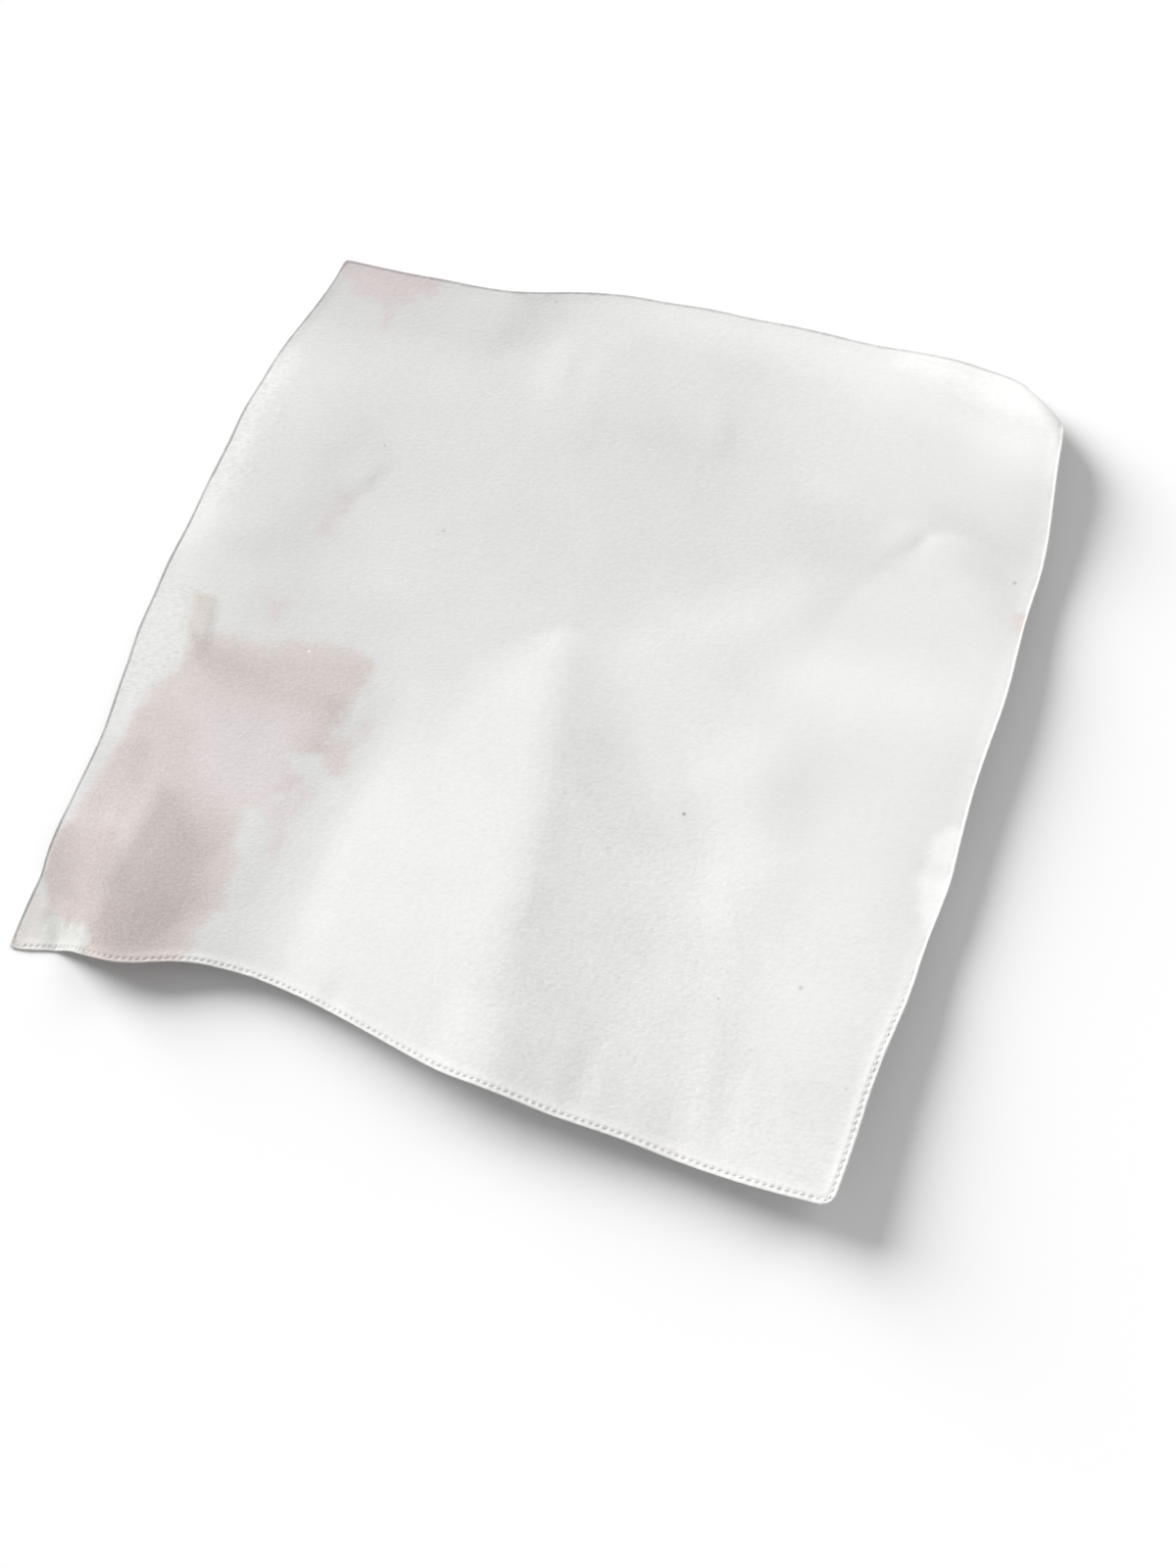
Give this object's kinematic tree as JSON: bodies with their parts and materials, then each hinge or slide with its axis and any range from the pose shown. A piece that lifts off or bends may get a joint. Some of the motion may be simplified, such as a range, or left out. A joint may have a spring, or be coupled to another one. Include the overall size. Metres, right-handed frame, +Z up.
{
  "type": "bandana",
  "caption": "Plain off-white square cotton bandana with a narrow turned hem, lying in soft folds with one corner rolled under.",
  "frame": {"origin": "middle of the lying cloth's outline box, on the surface it rests on", "axes": "+X and +Y along the cloth's sides, +Z up; the rolled-under corner is at +X +Y"},
  "size_m": [0.5584, 0.5462, 0.025],
  "materials": {
    "cotton": "matt plain weave, off-white, faintly stained at one corner"
  },
  "bodies": {
    "root": {"bandana_cloth": "cotton"}
  },
  "joints": []
}
